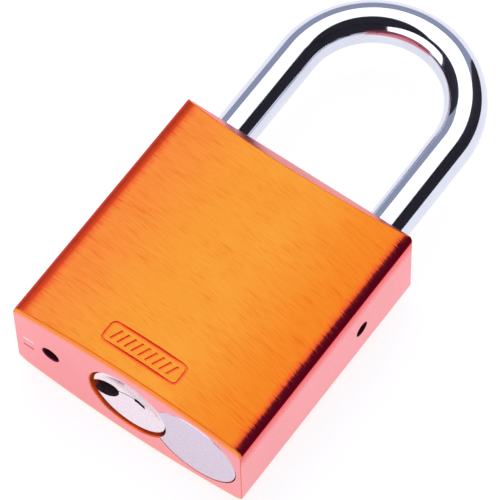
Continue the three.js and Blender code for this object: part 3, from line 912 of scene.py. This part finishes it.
def springs():
    spring("heel_spring", "shackle_spring", "Y", SHACKLE_SPRING_WIRE, SHACKLE_SPRING_TURNS)
    for i in range(1, PIN_COUNT + 1):
        spring(f"tumbler_spring_{i}", f"pin_spring_{i}", "X", PIN_SPRING_WIRE, PIN_SPRING_TURNS)


def balls():
    profile = [(BALL_RADIUS * math.sin(t), -BALL_RADIUS * math.cos(t))
               for t in (math.pi * i / 36 for i in range(37))]
    profile[0], profile[-1] = (0, -BALL_RADIUS), (0, BALL_RADIUS)
    for side, name, node in ((-1, "heel", "lock_ball_heel"), (1, "toe", "lock_ball_toe")):
        ball = lathe(f"ball_{name}", profile, (side * BALL_X, BALL_HEIGHT, 0), STEEL)
        ride(ball, f"{name}_ball", [node], 60)


def tumblers():
    """Key pins with coned tips and driver pins with a waist, each turned from brass."""
    for i, height in enumerate(pin_heights()):
        low, high = node_box(f"key_pin_{i + 1}")
        key_pin = lathe(f"key_tumbler_{i + 1}", [
            (0, low.x), (0.3, low.x + 0.02), (0.42, low.x + 0.10), (PIN_RADIUS - 0.06, low.x + 0.5),
            (PIN_RADIUS, low.x + 0.62), (PIN_RADIUS, high.x - 0.12),
            (PIN_RADIUS - 0.12, high.x), (0, high.x),
        ], (0, height, 0), BRASS, sides=48, along="X")
        ride(key_pin, f"key_pin_{i + 1}_body", [f"key_pin_{i + 1}"])
        low, high = node_box(f"driver_pin_{i + 1}")
        waist = PIN_RADIUS - 0.22
        driver = lathe(f"driver_tumbler_{i + 1}", [
            (0, low.x), (0.8, low.x), (0.92, low.x + 0.06), (PIN_RADIUS, low.x + 0.35),
            (PIN_RADIUS, low.x + 0.9), (waist, low.x + 1.2), (waist, low.x + 2.6),
            (PIN_RADIUS, low.x + 2.9), (PIN_RADIUS, high.x - 0.1),
            (PIN_RADIUS - 0.1, high.x), (0, high.x),
        ], (0, height, 0), BRASS, sides=48, along="X")
        ride(driver, f"driver_pin_{i + 1}_body", [f"driver_pin_{i + 1}"])


def chamber_cover():
    low, high = node_box("pin_chamber_cover")
    cover = block("chamber_strip", low, high, BRASS)
    bevel_edges(cover, 0.15)
    ride(cover, "case", ["pin_chamber_cover"])


def retaining_ring():
    outer = arc(0, 0, RING_OUTER, RING_MOUTH, 2 * math.pi - RING_MOUTH, 72)
    inner = arc(0, 0, RING_INNER, 2 * math.pi - RING_MOUTH, RING_MOUTH, 72)
    ring = raised("snap_ring", outer + inner, RING_LOW, RING_HIGH, STEEL)
    bevel_edges(ring, 0.1, angle=40)
    ride(ring, "case", ["plug_retaining_ring"])


def retaining_screw():
    low, high = node_box("housing_retaining_screw")
    head_radius = high.z
    thread = []
    pitch = 0.5
    turns = int((SCREW_HEAD_LOW - 0.8 - low.y) / pitch)
    for k in range(turns):
        y = low.y + 0.3 + k * pitch
        thread += [(SCREW_RADIUS - 0.2, y), (SCREW_RADIUS, y + 0.18), (SCREW_RADIUS, y + 0.3)]
    screw = lathe("housing_screw", [
        (0, low.y), (SCREW_RADIUS - 0.4, low.y), *thread,
        (SCREW_RADIUS - 0.1, SCREW_HEAD_LOW - 0.1), (SCREW_RADIUS, SCREW_HEAD_LOW),
        (head_radius - 0.1, SCREW_HEAD_LOW), (head_radius, SCREW_HEAD_LOW + 0.1),
        (head_radius, high.y - 0.2), (head_radius - 0.25, high.y), (0, high.y),
    ], (LEG_X, 0, 0), STEEL, sides=56)
    drive_depth, drive_half_width = 0.5, 0.35
    drive = block("drive", (LEG_X - head_radius - 1, high.y - drive_depth, -drive_half_width),
                  (LEG_X + head_radius + 1, high.y + 1, drive_half_width), STEEL)
    combine(screw, [drive])
    ride(screw, "case", ["housing_retaining_screw"])


def cam_quarter():
    """The cam's edge from a lobe's crest to the waist: a ball's centre draws in evenly as the
    cam turns, and the edge keeps the ball's radius and a gap from it."""
    offset = BALL_RADIUS + CAM_GAP
    fall = BALL_TRAVEL / (math.pi / 2)
    steps = 48
    points = []
    for i in range(steps + 1):
        angle = (math.pi / 2) * i / steps
        reach = BALL_X - fall * angle
        lean = math.atan2(fall, reach)
        points.append((reach * math.cos(angle) - offset * math.cos(angle + lean),
                       reach * math.sin(angle) - offset * math.sin(angle + lean)))
    last = BALL_X - BALL_TRAVEL
    lean = math.atan2(fall, last)
    down = -math.pi / 2
    return [p for p in points if p[1] > 0] + arc(0, last, offset, down + lean, down, 5)


def locking_cam():
    low, high = node_box("locking_cam")
    quarter = cam_quarter()
    half = quarter + [(-x, y) for x, y in reversed(quarter[:-1])]
    outline = half + [(-x, -y) for x, y in half]
    lobes = raised("cam", outline, CAM_COLLAR_TOP - 1, high.y, STEEL)
    bevel_edges(lobes, 0.15, angle=50)
    edge = 0.2
    collar = lathe("collar", [
        (0, low.y), (CAM_COLLAR_RADIUS - edge, low.y), (CAM_COLLAR_RADIUS, low.y + edge),
        (CAM_COLLAR_RADIUS, CAM_COLLAR_TOP - edge), (CAM_COLLAR_RADIUS - edge, CAM_COLLAR_TOP),
        (0, CAM_COLLAR_TOP),
    ], (0, 0, 0), STEEL, sides=96)
    combine(lobes, [collar], "UNION")
    gap = 0.3
    slot = block("tang_slot", (-TANG_HALF_WIDTH - gap, low.y - 1, -TANG_HALF_THICKNESS - gap),
                 (TANG_HALF_WIDTH + gap, plug_high.y + gap, TANG_HALF_THICKNESS + gap), STEEL)
    combine(lobes, [slot])
    ride(lobes, "plug", ["locking_cam"])


# ---- studio -------------------------------------------------------------------------------

# The camera's sensor and lens, and its place and aim in the lock frame, in millimetres.
CAMERA_SENSOR = 36
CAMERA_LENS = 304.76
CAMERA_PLACE = (174.5, -195.6, 544.7)
CAMERA_AIM = (-0.325, 30.346, 0)
CAMERA_RIGHT = (0.8109, 0.5849, -0.0177)


def camera():
    """The photograph's view: above the front, from the key end and the toe side."""
    data = bpy.data.cameras.new("camera")
    data.sensor_width = CAMERA_SENSOR
    data.lens = CAMERA_LENS
    made = placed("camera", data)
    made.location = to_frame(CAMERA_PLACE)
    right = Vector(CAMERA_RIGHT).normalized()
    back = (made.location - to_frame(CAMERA_AIM)).normalized()
    up = back.cross(right).normalized()
    right = up.cross(back)
    made.matrix_world = Matrix.Translation(made.location) @ Matrix(
        (right, up, back)).transposed().to_4x4()
    bpy.context.scene.camera = made


# The overhead softbox and the dark flats stand square to each other, turned this far from X.
STUDIO_TURN = math.radians(48.7)
SOFTBOX_HEIGHT = 1.5
SOFTBOX_SIZE = (2.15, 1.74)
SOFTBOX_PLACE = (0.12, 0.80)
SOFTBOX_TURN = STUDIO_TURN - math.radians(8)
SOFTBOX_RADIANCE = 1.42
WORLD_COLOUR = (0.345, 0.375, 0.49)
FLOOR_COLOUR = (0.30, 0.30, 0.31)
FLOOR_GLOW = 0.84
FLOOR_REACH = 3.4
FLOOR_GAP = 0.0002
BACKDROP_HEIGHT = 0.14


def studio_place(along, across, up):
    """A point in metres from the turned studio axes, with up measured from the floor."""
    turned = Matrix.Rotation(STUDIO_TURN, 3, "Z") @ Vector((along, across, 0))
    return Vector((turned.x, turned.y, BODY_LOW.z + up))


def softbox():
    data = bpy.data.lights.new("softbox", "AREA")
    data.shape = "RECTANGLE"
    data.size, data.size_y = SOFTBOX_SIZE
    data.energy = SOFTBOX_RADIANCE * math.pi * SOFTBOX_SIZE[0] * SOFTBOX_SIZE[1]
    light = placed("softbox", data)
    light.location = studio_place(*SOFTBOX_PLACE, SOFTBOX_HEIGHT)
    light.rotation_euler.z = SOFTBOX_TURN


def card(name, corners, colour, glow=0.0):
    """A studio card that shows only in reflections."""
    mesh = bpy.data.meshes.new(name)
    mesh.from_pydata([studio_place(*corner) for corner in corners], [], [(0, 1, 2, 3)])
    made = placed(name, mesh)
    material, _, shader = new_material(name)
    shader.inputs["Base Color"].default_value = (*colour, 1)
    shader.inputs["Roughness"].default_value = 1.0
    shader.inputs["Emission Color"].default_value = (1, 1, 1, 1)
    shader.inputs["Emission Strength"].default_value = glow
    mesh.materials.append(material)
    made.visible_camera = False
    made.visible_shadow = False
    made.visible_diffuse = False


def upright(start, end, low, high):
    """The corners of an upright card between two (along, across) points."""
    return [(*start, low), (*end, low), (*end, high), (*start, high)]


def reflector_cards():
    """Dark cards round the softbox's near side and ends, and a white one low on the left."""
    dark = (0.02, 0.016, 0.022)
    edge, back, top = 0.1, -1.1, SOFTBOX_HEIGHT + 0.01
    left, right = -0.97, 1.21
    card("dark_ceiling", [(left, edge, top), (right, edge, top), (right, back, top),
                          (left, back, top)], dark)
    card("dark_near", upright((left, back), (right, back), 0, top), dark)
    card("dark_right", upright((right, back), (right, 0.84), 0, top), dark)
    card("dark_left", upright((left, back), (left, 1.80), 0, top), dark)
    card("white_left", upright((-0.90, 0.24), (-0.50, -0.87), 0.10, 0.76), (0.8, 0.8, 0.8), 1.2)


def paper_floor():
    """A pale glowing floor with a low upstand along each edge."""
    corners = [(-1, -1), (1, -1), (1, 1), (-1, 1)]
    points = [(x * FLOOR_REACH, y * FLOOR_REACH, z) for z in (0, BACKDROP_HEIGHT)
              for x, y in corners]
    upstands = [(k, (k + 1) % 4, (k + 1) % 4 + 4, k + 4) for k in range(4)]
    mesh = bpy.data.meshes.new("floor")
    mesh.from_pydata(points, [], [(0, 1, 2, 3)] + upstands)
    floor = placed("floor", mesh)
    material, _, shader = new_material("floor_paper")
    shader.inputs["Base Color"].default_value = (*FLOOR_COLOUR, 1)
    shader.inputs["Roughness"].default_value = 0.9
    shader.inputs["Specular IOR Level"].default_value = 0.0
    shader.inputs["Emission Color"].default_value = (1, 1, 1, 1)
    shader.inputs["Emission Strength"].default_value = FLOOR_GLOW
    mesh.materials.append(material)
    floor.location.z = BODY_LOW.z - FLOOR_GAP


def studio():
    world = bpy.data.worlds.new("studio")
    world.use_nodes = True
    background = world.node_tree.nodes["Background"]
    background.inputs["Color"].default_value = (*WORLD_COLOUR, 1)
    background.inputs["Strength"].default_value = 1.0
    bpy.context.scene.world = world
    bpy.context.scene.view_settings.view_transform = "Standard"
    softbox()
    reflector_cards()
    paper_floor()


# ---- assembly -----------------------------------------------------------------------------

camera()
studio()
lock_body()
shackle()
plug()
housing()

locking_cam()
balls()
springs()
tumblers()
chamber_cover()
retaining_ring()
retaining_screw()
